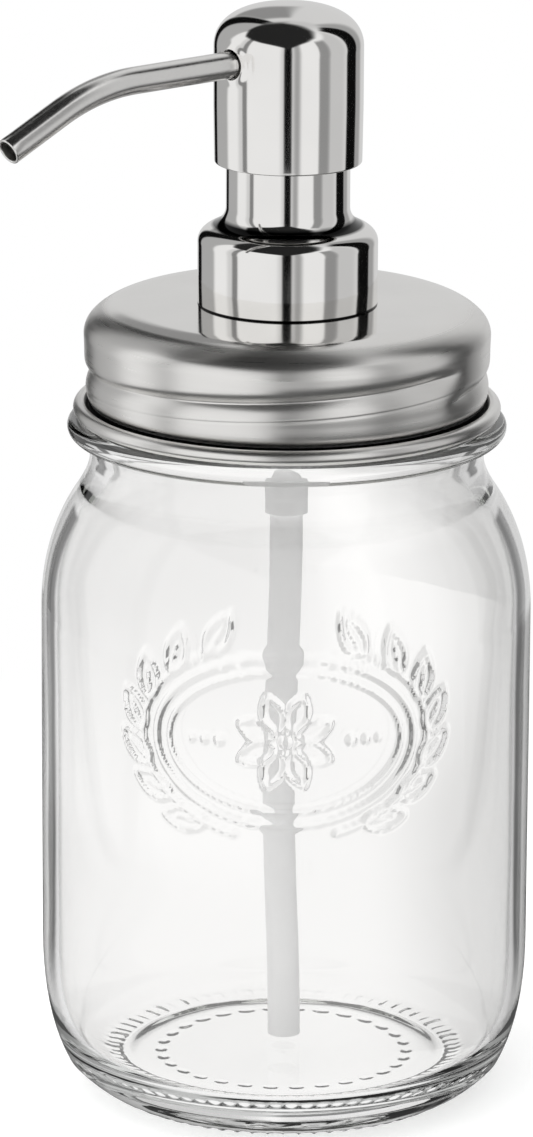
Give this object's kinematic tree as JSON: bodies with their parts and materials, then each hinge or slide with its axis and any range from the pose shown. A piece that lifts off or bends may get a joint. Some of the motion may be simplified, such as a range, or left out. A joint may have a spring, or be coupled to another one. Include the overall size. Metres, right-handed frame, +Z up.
{
  "type": "soap pump dispenser",
  "caption": "Hand soap dispenser: an embossed glass preserving jar with a screwed steel lid, a steel pump head on a steel collar, and a bent spout.",
  "frame": {"origin": "middle of the jar's flat underside, on the surface it stands on", "axes": "+Z up along the jar's axis; the jar's embossed front faces -Y; at rest the spout points to -X and -Y, 40 degrees in front of -X"},
  "size_m": [0.0914, 0.0866, 0.1954],
  "materials": {
    "clear_glass": "clear pressed glass with embossed lines and a stippled base ring",
    "polished_steel": "mirror-polished stainless steel with faint brushing",
    "spring_steel": "drawn stainless wire and ground balls",
    "white_plastic": "moulded polypropylene, satin",
    "frosted_plastic": "translucent frosted polyethylene",
    "silicone": "soft white seal"
  },
  "bodies": {
    "jar": {"glass_jar": "clear_glass"},
    "lid_carrier": {"lid_liner": "silicone"},
    "lid": {"screw_lid": "polished_steel", "bush_gasket": "silicone", "neck_bush": "white_plastic", "pump_closure": "white_plastic", "collar_cover": "polished_steel", "housing_gasket": "silicone", "pump_housing": "frosted_plastic", "lock_ring": "white_plastic", "ball_cage": "white_plastic", "return_spring": "spring_steel", "dip_tube": "frosted_plastic"},
    "inlet_valve": {"inlet_ball": "spring_steel"},
    "plunger": {"piston": "silicone"},
    "head": {"stem": "white_plastic", "stem_plug": "white_plastic", "head_core": "white_plastic", "head_shell": "polished_steel", "spout_seal": "silicone", "spout_tube": "polished_steel"},
    "outlet_valve": {"outlet_ball": "spring_steel"}
  },
  "joints": [
    {"name": "lid_lift", "type": "slide", "parent": "jar", "child": "lid_carrier", "axis": [0, 0, 1], "range_m": [0, 0.0053]},
    {"name": "lid_turn", "type": "hinge", "parent": "lid_carrier", "child": "lid", "pos_m": [0, 0, 0.131], "axis": [0, 0, 1], "range_deg": [0, 190]},
    {"name": "head_press", "type": "slide", "parent": "lid", "child": "plunger", "axis": [0, 0, -1], "range_m": [0, 0.0095], "stiffness_N_per_m": 600, "springref_m": -0.01, "deforming": ["return_spring"]},
    {"name": "head_swivel", "type": "hinge", "parent": "plunger", "child": "head", "pos_m": [0, 0, 0.16], "axis": [0, 0, 1], "continuous": true},
    {"name": "inlet_ball_lift", "type": "slide", "parent": "lid", "child": "inlet_valve", "axis": [0, 0, 1], "range_m": [0, 0.0012]},
    {"name": "outlet_ball_lift", "type": "slide", "parent": "head", "child": "outlet_valve", "axis": [0, 0, 1], "range_m": [0, 0.0012]}
  ],
  "couplings": [
    {"joint": "lid_lift", "follows": "lid_turn", "m_per_rad": 0.0015915}
  ]
}
